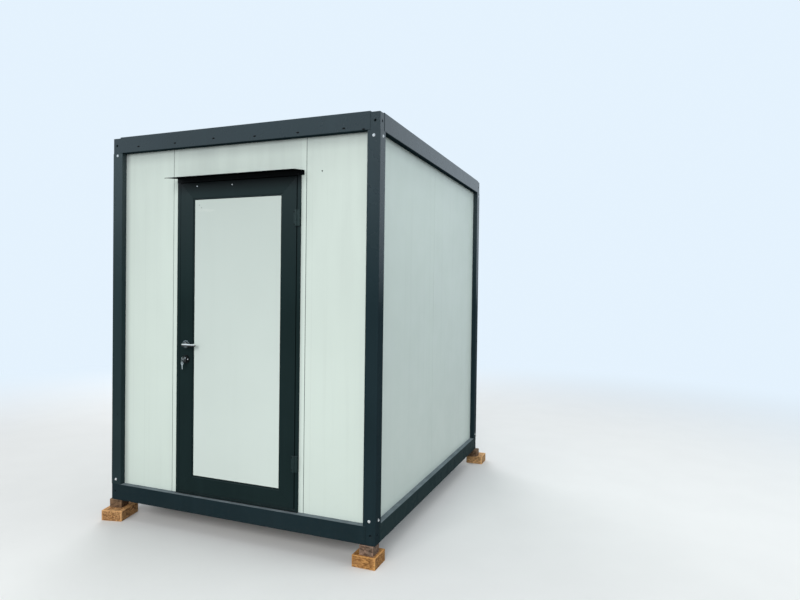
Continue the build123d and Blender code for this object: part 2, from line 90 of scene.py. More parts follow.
class Finish:
    """A material's node tree, with short calls for the nodes used here."""

    def __init__(self, name, roughness, metallic=0.0, specular=0.5):
        self.material = bpy.data.materials.new(name)
        self.material.use_nodes = True
        tree = self.material.node_tree
        self.nodes, self.links = tree.nodes, tree.links
        self.shader = self.nodes["Principled BSDF"]
        self.shader.inputs["Roughness"].default_value = roughness
        self.shader.inputs["Metallic"].default_value = metallic
        self.shader.inputs["Specular IOR Level"].default_value = specular
        self.at = self.add("ShaderNodeTexCoord").outputs["Object"]

    def add(self, kind, inputs=None, **settings):
        """A new node with these settings, whose inputs are values or other nodes' sockets."""
        node = self.nodes.new(kind)
        for key, value in settings.items():
            setattr(node, key, value)
        for key, value in (inputs or {}).items():
            self.put(node.inputs[key], value)
        return node

    def put(self, socket, value):
        """Feed an input from another node's socket, or give it a value."""
        if isinstance(value, bpy.types.NodeSocket):
            self.links.new(value, socket)
        else:
            socket.default_value = value

    def axis(self, letter):
        """A coordinate of the point, in the object's own frame."""
        return self.part(self.at, letter)

    def noise(self, scale, detail=3.0, stretch=(1, 1, 1), roughness=0.5, at=None):
        """Soft noise from 0 to 1, drawn out along an axis whose stretch is under 1."""
        place = self.add("ShaderNodeMapping", {"Vector": at or self.at, "Scale": stretch}).outputs[0]
        return self.add("ShaderNodeTexNoise", {
            "Vector": place, "Scale": scale, "Detail": detail, "Roughness": roughness}).outputs[0]

    def span(self, value, low, high, to_low=0.0, to_high=1.0, smooth=True):
        """Carry a value from one range to another, held at its ends."""
        return self.add("ShaderNodeMapRange", {
            "Value": value, "From Min": low, "From Max": high, "To Min": to_low, "To Max": to_high,
        }, interpolation_type="SMOOTHSTEP" if smooth else "LINEAR").outputs[0]

    def math(self, operation, a, b=0.0):
        return self.add("ShaderNodeMath", {0: a, 1: b}, operation=operation).outputs[0]

    def vector(self, operation, a, b=(0.0, 0.0, 0.0), output="Vector"):
        """Vector maths. The length of a vector is on the output Value."""
        return self.add("ShaderNodeVectorMath", {0: a, 1: b}, operation=operation).outputs[output]

    def away(self, value, centre):
        """How far a value is from a centre, without its sign."""
        return self.math("ABSOLUTE", self.math("SUBTRACT", value, centre))

    def times(self, *values):
        """The product of all the values."""
        total = values[0]
        for value in values[1:]:
            total = self.math("MULTIPLY", total, value)
        return total

    def mix(self, factor, a, b):
        """Colour a where the factor is 0, and colour b where it is 1."""
        return self.add("ShaderNodeMix", {0: factor, 6: a, 7: b}, data_type="RGBA").outputs[2]

    def part(self, vector, axis):
        """The X, Y or Z of a vector."""
        return self.add("ShaderNodeSeparateXYZ", {"Vector": vector}).outputs[axis]

    def facing_up(self):
        """Height of the surface normal: 1 on top faces, -1 on faces that look down."""
        return self.part(self.add("ShaderNodeNewGeometry").outputs["Normal"], "Z")

    def bump(self, height, depth, under=None):
        """Relief of the given depth in metres, on top of another relief."""
        inputs = {"Height": height, "Distance": depth, "Strength": 1.0}
        if under is not None:
            inputs["Normal"] = under
        return self.add("ShaderNodeBump", inputs).outputs[0]

    def colour(self, value):
        self.put(self.shader.inputs["Base Color"], value)

    def rough(self, value):
        self.put(self.shader.inputs["Roughness"], value)

    def relief(self, value):
        self.put(self.shader.inputs["Normal"], value)


def mud_mask(finish, height, low, high):
    """Splashes that thin out from low to high above the ground."""
    reach = finish.span(height, low, high, 1.0, 0.0)
    specks = finish.span(finish.noise(38, 6, roughness=0.7), 0.48, 0.66)
    wash = finish.span(finish.noise(5, 3), 0.35, 0.75)
    return finish.times(reach, finish.math("MAXIMUM", specks, finish.times(wash, 0.5)))


def painted_steel(name, colour, roughness, dust_and_sheen, mud=0.03, gloss=0.48, shadow=0.0):
    """Powder paint with a fine orange peel, dust and painted sky sheen on top faces, and splashes near the
    ground.

    Its gloss grows with height and is gone on faces that look down. The shadow lies just under the hood.
    """
    f = Finish(name, roughness)
    height = f.axis("Z")
    tone = f.mix(f.span(f.noise(2.3, 4), 0.3, 0.7), shade(colour, 0.93), shade(colour, 1.07))
    streak = f.span(f.noise(14, 4, (1, 1, 0.06)), 0.52, 0.72)
    tone = f.mix(f.times(streak, 0.16), tone, shade(colour, 1.5))
    tone = f.mix(f.span(height, HOOD - 0.10, HOOD, 0.0, shadow), tone, shade(colour, 0.1))
    # Settled dust and painted sky sheen, one pale mark on the faces that look up.
    settled_dust_and_sheen = f.times(f.span(f.facing_up(), 0.6, 0.98), f.span(f.noise(11, 5), 0.3, 0.7, 0.7, 1.0), dust_and_sheen)
    tone = f.mix(settled_dust_and_sheen, tone, DUST_AND_SHEEN)
    splash = f.times(mud_mask(f, height, FOOT, FOOT + 0.22), mud)
    f.colour(f.mix(splash, tone, MUD_ON_PAINT))
    dirt_and_painted_light = f.math("MAXIMUM", settled_dust_and_sheen, splash)
    f.rough(f.span(f.math("ADD", f.times(f.noise(7, 5), 0.3), dirt_and_painted_light), 0.1, 0.9,
                   roughness - 0.05, min(roughness + 0.4, 1.0)))
    rise = f.span(height, DULL_TO, GLOSSY_AT, 0.004, 1.0)
    f.put(f.shader.inputs["Specular IOR Level"], f.times(f.span(f.facing_up(), -0.8, -0.2), rise, gloss))
    f.relief(f.bump(f.noise(330, 2), 0.00012, f.bump(f.noise(4.2, 2), 0.0012)))
    return f.material


def coated_sheet(name, colour, run, lines=0.1, mud=0.02, eaves_shade=0.2, sill_shade=0.0, edge=None):
    """Pale coil-coated sheet with rain streaks, and faint rolled lines a given distance apart, darkened
    with painted shade.

    run is the axis across the lines. Painted shade grows towards the eaves, and by a second share towards
    the sill.
    An edge is a place along run with a reach, a share and a top: painted shade grows towards it, below the
    top.
    """
    roughness = 0.42
    f = Finish(name, roughness)
    height, along = f.axis("Z"), f.axis(run)
    tone = f.mix(f.span(f.noise(1.1, 3), 0.3, 0.7), shade(colour, 0.975), shade(colour, 1.02))
    streak = f.times(f.span(f.noise(21, 4, (1, 1, 0.035)), 0.5, 0.8), 0.14)
    tone = f.mix(streak, tone, shade(colour, 0.78))
    # Painted shade: darker towards the eaves, darker still just under the rail, towards the sill and
    # beside an edge.
    dirt_and_painted_light = f.times(f.span(height, EAVES - 1.7, EAVES, 0.0, eaves_shade),
                     f.span(f.noise(9, 4, (1, 1, 0.1)), 0.3, 0.7, 0.6, 1.0))
    for reach, share in ((0.3, 0.12), (0.1, 0.36)):
        dirt_and_painted_light = f.math("ADD", dirt_and_painted_light, f.span(height, EAVES - reach, EAVES, 0.0, share))
    dirt_and_painted_light = f.math("ADD", dirt_and_painted_light, f.span(height, SILL, 2.2, sill_shade, 0.0))
    if edge:
        at, reach, share, top = edge
        beside = f.span(f.away(along, at), 0.0, reach, share, 0.0)
        dirt_and_painted_light = f.math("ADD", dirt_and_painted_light, f.times(beside, f.span(height, top - 0.05, top, 1.0, 0.0)))
    tone = f.mix(dirt_and_painted_light, tone, SHADE_ON_SHEET)
    tone = f.mix(f.times(mud_mask(f, height, SILL, SILL + 0.28), mud), tone, MUD_ON_SHEET)
    relief = f.bump(f.noise(1.6, 2, (1, 1, 0.35)), 0.006)
    if lines:
        near = f.away(f.math("FRACT", f.math("DIVIDE", along, lines)), 0.5)
        clear = f.span(f.noise(3.1, 1, tuple(float(axis == run) for axis in "XYZ")), 0.42, 0.68, 0.15, 1.0)
        groove = f.times(f.span(near, 0.0, 0.022, 1.0, 0.0), clear)
        # Painted shade in the grooves, which the bump also presses in.
        tone = f.mix(f.times(groove, 0.22), tone, shade(colour, 0.6))
        relief = f.bump(groove, -0.0004, relief)
    f.colour(tone)
    f.rough(f.span(f.noise(6, 4), 0.3, 0.7, roughness - 0.05, roughness + 0.08))
    f.relief(f.bump(f.noise(520, 2), 0.00005, relief))
    return f.material


def brushed_metal(name, colour, roughness, painted_ground_reflection, stretch=(0.04, 1, 1)):
    """Brushed metal with a painted reflection of dark ground: it darkens as its faces turn down, over a
    given range of facing_up.
    """
    f = Finish(name, roughness, metallic=1.0)
    grain = f.noise(900, 4, stretch)
    tone = f.mix(f.span(f.noise(60, 3), 0.3, 0.7), shade(colour, 0.82), colour)
    # Painted reflection: the colour darkens on faces that turn down, as they would mirror dark ground.
    f.colour(f.mix(f.span(f.facing_up(), *painted_ground_reflection, 1.0, 0.0), tone, shade(colour, 0.07)))
    f.rough(f.span(grain, 0.3, 0.7, roughness - 0.08, roughness + 0.12))
    f.relief(f.bump(grain, 0.00006))
    return f.material


def galvanised(name, colour, roughness):
    """Zinc with its spangle and a little white bloom."""
    f = Finish(name, roughness, metallic=0.9)
    spangle = f.add("ShaderNodeTexVoronoi", {"Vector": f.at, "Scale": 420.0}).outputs["Color"]
    level = f.span(f.part(spangle, "X"), 0.0, 1.0, smooth=False)
    f.colour(f.mix(level, shade(colour, 0.72), colour))
    f.rough(f.span(f.noise(150, 3), 0.3, 0.7, roughness - 0.1, roughness + 0.15))
    f.relief(f.bump(f.noise(700, 2), 0.00008))
    return f.material


def moulded(name, colour, roughness, specular):
    """Plastic, rubber or sealant with a fine grain."""
    f = Finish(name, roughness, specular=specular)
    f.colour(f.mix(f.span(f.noise(40, 3), 0.3, 0.7), shade(colour, 0.8), shade(colour, 1.25)))
    f.rough(f.span(f.noise(90, 3), 0.3, 0.7, roughness - 0.08, roughness + 0.1))
    f.relief(f.bump(f.noise(700, 2), 0.00012))
    return f.material


def sawn_timber(name, early, late, weathering):
    """Softwood whose growth rings lie round an axis along the piece's own X."""
    f = Finish(name, 0.8, specular=0.25)
    # Growth rings, wavy and nearly straight along the grain, some of them fainter than others.
    swirl = f.add("ShaderNodeTexNoise", {"Vector": f.at, "Scale": 5.0, "Detail": 2.0}).outputs["Color"]
    shift = f.vector("MULTIPLY", f.vector("SUBTRACT", swirl, (0.5, 0.5, 0.5)), (0.0, 0.022, 0.022))
    flat = f.vector("MULTIPLY", f.vector("ADD", f.at, shift), (0.06, 1.0, 1.0))
    radius = f.vector("LENGTH", flat, output="Value")
    year = f.math("FRACT", f.math("DIVIDE", radius, GROWTH_RING))
    band = f.math("MINIMUM", f.span(year, 0.25, 0.82), f.span(year, 0.90, 1.0, 1.0, 0.0))
    depth = f.add("ShaderNodeCombineXYZ", {"X": radius}).outputs[0]
    band = f.times(band, f.span(f.noise(52, 2, at=depth), 0.38, 0.62, 0.35, 1.0))
    # Fibres, grey blotches and damp, which stays on faces that look sideways or down.
    fibre = f.noise(260, 5, (0.035, 1, 1), 0.6)
    wood = f.mix(f.times(band, 0.85), early, late)
    wood = f.mix(f.span(fibre, 0.42, 0.75, 0.0, 0.45), wood, shade(late, 0.75))
    blotch = f.span(f.noise(14, 5), 0.40, 0.68)
    wood = f.mix(f.times(blotch, weathering), wood, rgb(118, 106, 96))
    damp = f.times(f.span(f.noise(22, 5), 0.45, 0.62), f.span(f.facing_up(), -0.2, 0.6, 1.0, 0.25))
    wood = f.mix(f.times(damp, 0.25 + 0.3 * weathering), wood, shade(late, 0.42))
    # Torn end grain, dark and pale mottling, and arrises lightened as bruised fresh wood and as a painted
    # highlight.
    normal = f.nodes["Texture Coordinate"].outputs["Normal"]
    end = f.span(f.math("ABSOLUTE", f.part(normal, "X")), 0.6, 0.9)
    torn = f.span(f.noise(190, 6, (0.2, 1, 0.5), 0.65), 0.46, 0.6)
    wood = f.mix(f.times(end, torn, 0.55), wood, shade(late, 0.45))
    mottle = f.span(f.noise(70, 4, (0.5, 1, 1), 0.6), 0.48, 0.58)
    wood = f.mix(f.times(mottle, 0.6), wood, shade(late, 0.4))
    fleck = f.span(f.noise(85, 4, (0.5, 1, 1), 0.6), 0.53, 0.61)
    wood = f.mix(f.times(fleck, 0.6), wood, shade(early, 1.4))
    # Pale arrises: bruised fresh wood, and a painted highlight where the edges catch the light.
    worn_and_highlit = f.span(f.add("ShaderNodeNewGeometry").outputs["Pointiness"], 0.505, 0.56)
    wood = f.mix(f.times(worn_and_highlit, 0.75), wood, shade(early, 1.3))
    f.colour(wood)
    saw = f.noise(55, 3, (1, 0.05, 0.05), 0.6)
    lift = f.bump(saw, 0.0011, f.bump(fibre, 0.0008, f.bump(band, 0.0005)))
    lift = f.bump(f.times(end, torn), -0.0012, lift)
    f.relief(lift)
    return f.material


def floor_board(name):
    """Film-faced plywood with a fine rolled mesh and scuffs."""
    f = Finish(name, 0.5)
    x, y = f.axis("X"), f.axis("Y")
    colour = rgb(92, 64, 46)
    mesh = f.times(f.math("SINE", f.times(x, 1400.0)), f.math("SINE", f.times(y, 1400.0)))
    scuff = f.span(f.noise(9, 6, (1, 2.5, 1), 0.65), 0.55, 0.75)
    base = f.mix(f.span(f.noise(3, 4), 0.3, 0.7), shade(colour, 0.85), shade(colour, 1.15))
    f.colour(f.mix(f.times(scuff, 0.35), base, rgb(150, 132, 112)))
    f.rough(f.span(scuff, 0.0, 1.0, 0.42, 0.7))
    f.relief(f.bump(mesh, 0.0002))
    return f.material


def dressed_infill(name, colour):
    """The door's smooth pale infill, with a rubbed scuff and two specks near its head, and painted shade
    towards its top.
    """
    f = Finish(name, 0.34)
    x, height = f.axis("X"), f.axis("Z")
    tone = f.mix(f.span(f.noise(1.2, 3), 0.3, 0.7), shade(colour, 0.975), shade(colour, 1.02))
    streak = f.times(f.span(f.noise(17, 4, (1, 1, 0.04)), 0.5, 0.8), 0.07)
    tone = f.mix(streak, tone, shade(colour, 0.8))
    across = f.span(f.away(x, SCUFF_X), 0.05, 0.085, 1.0, 0.0)
    along = f.span(f.away(height, SCUFF_Z), 0.004, 0.016, 1.0, 0.0)
    rub = f.times(across, along, f.span(f.noise(45, 4, (0.3, 1, 1)), 0.42, 0.62), 0.3)
    tone = f.mix(rub, tone, rgb(232, 238, 234))
    for dx, dz in ((-0.055, 0.036), (-0.038, 0.019)):
        speck = f.math("MAXIMUM", f.away(x, SCUFF_X + dx), f.away(height, SCUFF_Z + dz))
        tone = f.mix(f.times(f.span(speck, 0.002, 0.0045, 1.0, 0.0), 0.6), tone, rgb(80, 84, 80))
    # Painted shade: the infill darkens towards its head, under the hood.
    tone = f.mix(f.span(height, 0.4, 2.2, 0.0, 0.27), tone, rgb(126, 138, 136))
    f.colour(tone)
    f.rough(f.span(f.noise(7, 4), 0.3, 0.7, 0.3, 0.42))
    f.relief(f.bump(f.noise(1.9, 2, (1, 1, 0.4)), 0.003))
    return f.material


looks = {
    "frame": painted_steel("frame_paint", ANTHRACITE, 0.32, dust_and_sheen=0.6),
    # A lighter copy of the frame paint: painted light on the left front post.
    "left_post": painted_steel("lit_left_post_paint", rgb(41, 55, 58), 0.32, dust_and_sheen=0.4, gloss=0.42),
    "top_side": painted_steel("top_side_paint", ANTHRACITE, 0.32, dust_and_sheen=0.6, gloss=0.62),
    # A lighter copy of the frame paint: painted reflection on the side bottom rails.
    "bottom_side": painted_steel("lit_bottom_side_paint", rgb(39, 54, 56), 0.32, dust_and_sheen=0.6),
    "block": painted_steel("block_paint", ANTHRACITE, 0.32, dust_and_sheen=0.1),
    "stile": painted_steel("door_paint_upright", DOOR_TONE, 0.36, dust_and_sheen=0.15, gloss=0.28, shadow=0.8),
    "rail": painted_steel("door_paint_level", DOOR_TONE, 0.33, dust_and_sheen=0.15, gloss=0.18, shadow=0.8),
    # A lighter copy of the paint: painted highlight on the hinges.
    "hinge": painted_steel("hinge_paint", rgb(40, 54, 55), 0.28, dust_and_sheen=0.1, mud=0.0, gloss=0.25),
    # The hood's paint is darkened almost to black as painted shade under its brim.
    "hood": painted_steel("hood_paint", rgb(5, 8, 9), 0.5, dust_and_sheen=0.3, mud=0.0, gloss=0.15),
    # The sheets carry painted shade towards the eaves, which the roof above them gets in full; the left
    # and strip sheets also beside the post and the door frame, the side sheets towards the sill.
    "sheet_x": coated_sheet("wall_sheet_across", OFF_WHITE, "X"),
    "sheet_left": coated_sheet("wall_sheet_left", OFF_WHITE, "X",
                               edge=(LEFT + POST, 0.05, 0.48, EAVES + 0.1)),
    "sheet_strip": coated_sheet("wall_sheet_strip", OFF_WHITE, "X", edge=(JAMB, 0.026, 0.3, HOOD)),
    "sheet_shaded": coated_sheet("wall_sheet_shaded", OFF_WHITE, "X", eaves_shade=0.28),
    "sheet_y": coated_sheet("wall_sheet_along", OFF_WHITE, "Y", eaves_shade=0.04, sill_shade=0.14),
    "roof": coated_sheet("roof_sheet", rgb(176, 182, 182), "X", lines=0, mud=0.0),
    "infill": dressed_infill("door_infill", rgb(208, 220, 215)),
    "board": floor_board("floor_board"),
    "stainless": brushed_metal("brushed_stainless", rgb(250, 250, 245), 0.24, painted_ground_reflection=(0.02, 0.2)),
    "rose": brushed_metal("rose_steel", rgb(190, 206, 206), 0.3, painted_ground_reflection=(-0.2, 0.8)),
    "nickel": brushed_metal("nickel", rgb(196, 202, 202), 0.3, painted_ground_reflection=(-0.9, 0.3), stretch=(1, 0.2, 1)),
    "zinc": galvanised("zinc", rgb(244, 246, 246), 0.22),
    "black": moulded("black_plastic", rgb(9, 13, 14), 0.42, specular=0.12),
    "rubber": moulded("black_rubber", rgb(11, 15, 16), 0.62, specular=0.2),
    # Grey of the joint beads, which stand in for the shade in the wall joints.
    "sealant": moulded("grey_joint_shade", rgb(52, 60, 64), 0.6, specular=0.2),
    "dark_screw": moulded("dark_screws", rgb(7, 8, 9), 0.55, specular=0.12),
    "pine": sawn_timber("pale_timber", rgb(210, 164, 112), rgb(160, 104, 60), 0.15),
    "gold_pine": sawn_timber("golden_timber", rgb(190, 142, 86), rgb(142, 88, 42), 0.15),
    "tan_pine": sawn_timber("tan_timber", rgb(214, 172, 122), rgb(168, 120, 76), 0.15),
    "old_pine": sawn_timber("weathered_timber", rgb(136, 112, 96), rgb(96, 74, 60), 0.5),
    "brown_pine": sawn_timber("brown_timber", rgb(122, 98, 76), rgb(84, 64, 48), 0.4),
}


# The look of a CAD node goes by the first of these that its name starts with, and is "frame" without one.
NODE_LOOKS = (
    ("front_wall_left", "sheet_left"), ("front_wall_beside_door", "sheet_strip"),
    ("front_wall", "sheet_shaded"), ("rear_wall", "sheet_x"),
    ("left_wall", "sheet_y"), ("right_wall", "sheet_y"),
    ("post_front_left", "left_post"), ("top_rail_left", "top_side"), ("top_rail_right", "top_side"),
    ("bottom_rail_left", "bottom_side"), ("bottom_rail_right", "bottom_side"),
    ("top_corner", "block"), ("bottom_corner", "block"), ("roof_panel", "roof"), ("floor_deck", "board"),
    ("door_jamb", "stile"), ("leaf_hinge_stile", "stile"), ("leaf_lock_stile", "stile"),
    ("door_head", "rail"), ("door_sill", "rail"), ("leaf_top_rail", "rail"), ("leaf_bottom_rail", "rail"),
    ("leaf_infill", "infill"), ("door_hood", "hood"), ("hinge_", "hinge"), ("lever_", "stainless"),
    ("lock_cylinders", "stainless"), ("lock_roses", "black"), ("lock_key", "nickel"),
    ("lower_blocks", "pine"), ("upper_blocks", "old_pine"),
)

for node_name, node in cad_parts.items():
    node.data.materials.clear()
    node_look = next((look for start, look in NODE_LOOKS if node_name.startswith(start)), "frame")
    node.data.materials.append(looks[node_look])


# ---------------------------------------------------------------- mesh tools

def piece(name, mesh, look, body, smooth=True, at=None):
    """A mesh made into a piece that rides on a body."""
    obj = bpy.data.objects.new(name, mesh)
    bpy.context.scene.collection.objects.link(obj)
    mesh.materials.append(looks[look])
    for polygon in mesh.polygons:
        polygon.use_smooth = smooth
    if at is not None:
        obj.matrix_world = at
    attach(obj, body)
    return obj


def facing(point, direction, spin=0.0):
    """A frame at a point whose Z looks along a direction."""
    turn = Vector(direction).to_track_quat("Z", "Y").to_matrix().to_4x4()
    return Matrix.Translation(point) @ turn @ Matrix.Rotation(spin, 4, "Z")


def add_lathe(bm, profile, place, segments):
    """Turn (radius, height) points round Z and close the ends that reach the axis."""
    angles = [2 * math.pi * k / segments for k in range(segments)]
    rings = []
    for radius, height in profile:
        if radius == 0:
            rings.append([bm.verts.new(place @ Vector((0, 0, height)))])
            continue
        rings.append([bm.verts.new(place @ Vector((radius * math.cos(a), radius * math.sin(a), height)))
                      for a in angles])
    for low, high in zip(rings, rings[1:]):
        for k in range(segments):
            after = (k + 1) % segments
            if len(low) == 1:
                bm.faces.new((low[0], high[after], high[k]))
            elif len(high) == 1:
                bm.faces.new((low[k], low[after], high[0]))
            else:
                bm.faces.new((low[k], low[after], high[after], high[k]))


def finish_mesh(bm, name):
    """The mesh of a bmesh whose faces all look outward."""
    bmesh.ops.recalc_face_normals(bm, faces=bm.faces)
    mesh = bpy.data.meshes.new(name)
    bm.to_mesh(mesh)
    bm.free()
    return mesh


def bend(corner, start, end, radius, steps=8):
    """Points on the arc that rounds a right-angled corner."""
    corner, start, end = Vector(corner), Vector(start), Vector(end)
    centre = corner + start * radius + end * radius
    return [centre - end * radius * math.cos(a) - start * radius * math.sin(a)
            for a in (math.pi / 2 * k / steps for k in range(steps + 1))]


def add_tube(bm, points, radius, segments, tip=0.0):
    """Round bar along points, closed at both ends. tip rounds the last one."""
    points = [Vector(p) for p in points]
    side = (points[1] - points[0]).orthogonal().normalized()
    rings = []
    for i, point in enumerate(points):
        ahead = (points[min(i + 1, len(points) - 1)] - points[max(i - 1, 0)]).normalized()
        side = (side - ahead * side.dot(ahead)).normalized()
        rings.append((point, ahead, side, radius))
    if tip:
        point, ahead, side, _ = rings[-1]
        rings[-1] = (point - ahead * tip, ahead, side, radius)
        rings += [(point - ahead * tip * (1 - math.sin(a)), ahead, side, radius - tip * (1 - math.cos(a)))
                  for a in (math.pi / 6, math.pi / 3, math.pi / 2)]
    loops = []
    for point, ahead, side, size in rings:
        across = ahead.cross(side)
        loops.append([bm.verts.new(point + (side * math.cos(a) + across * math.sin(a)) * size)
                      for a in (2 * math.pi * k / segments for k in range(segments))])
    for low, high in zip(loops, loops[1:]):
        for k in range(segments):
            after = (k + 1) % segments
            bm.faces.new((low[k], low[after], high[after], high[k]))
    bm.faces.new(loops[0])
    bm.faces.new(loops[-1])


def add_bead(bm, start, end, out, width, height, crown=5):
    """Strip with a rounded crown between two points, standing out from a face."""
    start, end, out = Vector(start), Vector(end), Vector(out)
    across = (end - start).normalized().cross(out)
    section = [(-width / 2, -0.0005)]
    for k in range(crown):
        angle = math.pi * k / (crown - 1)
        section.append((-width / 2 * math.cos(angle), height * (0.35 + 0.65 * math.sin(angle))))
    section.append((width / 2, -0.0005))
    rims = [[bm.verts.new(point + across * a + out * h) for a, h in section] for point in (start, end)]
    for k in range(len(section)):
        after = (k + 1) % len(section)
        bm.faces.new((rims[0][k], rims[0][after], rims[1][after], rims[1][k]))
    bm.faces.new(rims[0])
    bm.faces.new(rims[1])


def beads(name, runs, look, body):
    """One piece made of straight beads."""
    bm = bmesh.new()
    for run in runs:
        add_bead(bm, *run)
    piece(name, finish_mesh(bm, name), look, body, smooth=False)


def add_plate(bm, outline, thickness, place, holes=()):
    """Flat plate of a closed outline in its own XY, with round holes, given a small chamfer."""
    loops = [outline]
    for x, y, radius, count in holes:
        loops.append([(x + radius * math.cos(a), y + radius * math.sin(a))
                      for a in (2 * math.pi * k / count for k in range(count))])
    flat = bmesh.new()
    edges = []
    for loop in loops:
        verts = [flat.verts.new((x, y, -thickness / 2)) for x, y in loop]
        edges += [flat.edges.new((verts[k], verts[(k + 1) % len(verts)])) for k in range(len(verts))]
    bmesh.ops.triangle_fill(flat, edges=edges, use_beauty=True)
    lifted = bmesh.ops.extrude_face_region(flat, geom=list(flat.faces))["geom"]
    bmesh.ops.translate(flat, verts=[v for v in lifted if isinstance(v, bmesh.types.BMVert)],
                        vec=(0, 0, thickness))
    bmesh.ops.recalc_face_normals(flat, faces=flat.faces)
    rim = [e for e in flat.edges if len(e.link_faces) == 2 and e.calc_face_angle() > 1.2]
    bmesh.ops.bevel(flat, geom=rim, offset=thickness * 0.14, segments=2, affect="EDGES")
    bmesh.ops.transform(flat, matrix=place, verts=flat.verts)
    mesh = bpy.data.meshes.new("plate")
    flat.to_mesh(mesh)
    flat.free()
    bm.from_mesh(mesh)
    bpy.data.meshes.remove(mesh)


def fasteners(name, build, places, look, body, smooth=False):
    """One piece made of the same fastener at several places."""
    bm = bmesh.new()
    for place in places:
        build(bm, place)
    piece(name, finish_mesh(bm, name), look, body, smooth=smooth)


def flange_bolt(bm, place):
    """Low hexagon bolt with a washer face and a chamfered head."""
    add_lathe(bm, [(0, 0), (0.0088, 0), (0.0088, 0.0008), (0.0080, 0.0012), (0.0066, 0.0014)], place, 28)
    flat = place @ Matrix.Translation((0, 0, 0.0010))
    add_lathe(bm, [(0.0066, 0), (0.0066, 0.0026), (0.0058, 0.0034), (0, 0.0036)], flat, 6)


def domed_head(bm, place):
    """Low domed head over a thin flange, for rivets and plugs."""
    add_lathe(bm, [(0, 0), (0.0072, 0), (0.0072, 0.0008), (0.0058, 0.0012), (0.0055, 0.0022),
                   (0.0042, 0.0034), (0.0020, 0.0040), (0, 0.0041)], place, 18)


def countersunk(bm, place):
    """Flat screw head whose recess is a shallow pit."""
    add_lathe(bm, [(0, 0), (0.0042, 0), (0.0042, 0.0006), (0.0036, 0.0009), (0.0016, 0.0009),
                   (0.0012, 0.0002), (0, 0.0002)], place, 16)


def roof_screw(bm, place):
    """Roofing screw: sealing washer and hexagon head."""
    add_lathe(bm, [(0, 0), (0.0095, 0), (0.0095, 0.0008), (0.0080, 0.0016), (0.0055, 0.0019)], place, 20)
    add_lathe(bm, [(0.0046, 0), (0.0046, 0.0046), (0.0040, 0.0052), (0, 0.0054)],
              place @ Matrix.Translation((0, 0, 0.0014)), 6)


# ---------------------------------------------------------------- frame hardware

def corner_bolts():
    """A bolt at the head and the foot of each post, on both outer faces."""
    rng = random.Random(4)
    inward = POST / 2
    places = []
    for x, side_x in ((LEFT, -1), (RIGHT, 1)):
        for y, side_y in ((FRONT, -1), (REAR, 1)):
            for z in (EAVES - 0.024 - 0.008 * side_x, SILL + 0.032):
                spin = rng.uniform(0, 6)
                places.append(facing((x - side_x * inward, y, z), (0, side_y, 0), spin))
                places.append(facing((x, y - side_y * inward, z), (side_x, 0, 0), spin + 1))
    fasteners("corner_bolts", flange_bolt, places, "zinc", "cabin")


def roof_screws():
    """Sealed screws along the crowns of the roof ribs, four to each."""
    low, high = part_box("roof_panel")
    pitch = (high.x - low.x) / 7
    places = [facing((pitch * n, y, high.z), (0, 0, 1), n + y)
              for n in range(-3, 4) for y in (-1.085, -0.362, 0.362, 1.085)]
    fasteners("roof_screws", roof_screw, places, "zinc", "cabin")


def small_marks():
    """A small dark screw in the right front panel and one low on the left post."""
    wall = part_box("front_wall_right")[0].y
    on_panel = facing((0.613, wall, 2.322), (0, -1, 0))
    on_post = facing((-0.9535, FRONT, 0.727), (0, -1, 0))
    fasteners("panel_plug", countersunk, [on_panel], "rubber", "cabin")
    fasteners("post_plug", countersunk, [on_post], "dark_screw", "cabin")


def hood_rivets():
    """Domed rivets through the hood's upright leg."""
    count, margin = 5, 0.04
    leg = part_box("door_head")[0].y - 0.002
    low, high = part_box("door_hood")
    gap = (high.x - low.x - 2 * margin) / (count - 1)
    places = [facing((low.x + margin + k * gap, leg, high.z - 0.018), (0, -1, 0)) @ Matrix.Scale(0.62, 4)
              for k in range(count)]
    fasteners("hood_rivets", domed_head, places, "dark_screw", "cabin", smooth=True)


def fascia_plugs():
    """Dark oblong plugs in the front and rear top rails, on each at its own height."""
    oblong = Matrix.Diagonal((1.4, 0.66, 0.5, 1))
    # Distance from the rail's left end as one faces it, and height over its lower edge.
    plugs = ((0.226, 0.035), (0.537, 0.034), (0.848, 0.040), (1.162, 0.028), (1.471, 0.024),
             (1.780, 0.022), (1.908, 0.007))
    places = []
    for face, out in ((FRONT, -1), (REAR, 1)):
        for offset, rise in plugs:
            x = LEFT + offset if out < 0 else RIGHT - offset
            places.append(facing((x, face, EAVES + rise), (0, out, 0)) @ oblong)
    fasteners("fascia_plugs", domed_head, places, "dark_screw", "cabin", smooth=True)


corner_bolts()
fascia_plugs()
roof_screws()
hood_rivets()
small_marks()


# ---------------------------------------------------------------- timber under the corners

def footprint(node, side_x, side_y):
    """Centre, length direction and size of the block in one quarter of the plan."""
    points = [v.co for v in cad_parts[node].data.vertices
              if v.co.x * side_x > 0 and v.co.y * side_y > 0]
    low, high = min(p.z for p in points), max(p.z for p in points)
    corners = []
    for p in points:
        if p.z - low < 0.001 and all((p.xy - c).length > 0.005 for c in corners):
            corners.append(p.xy.copy())
    centre = sum(corners, Vector((0, 0))) / 4
    corners.sort(key=lambda c: math.atan2(c.y - centre.y, c.x - centre.x))
    edges = sorted((corners[1] - corners[0], corners[2] - corners[1]), key=lambda e: -e.length)
    return centre, edges[0].normalized(), (edges[0].length, edges[1].length), low, high


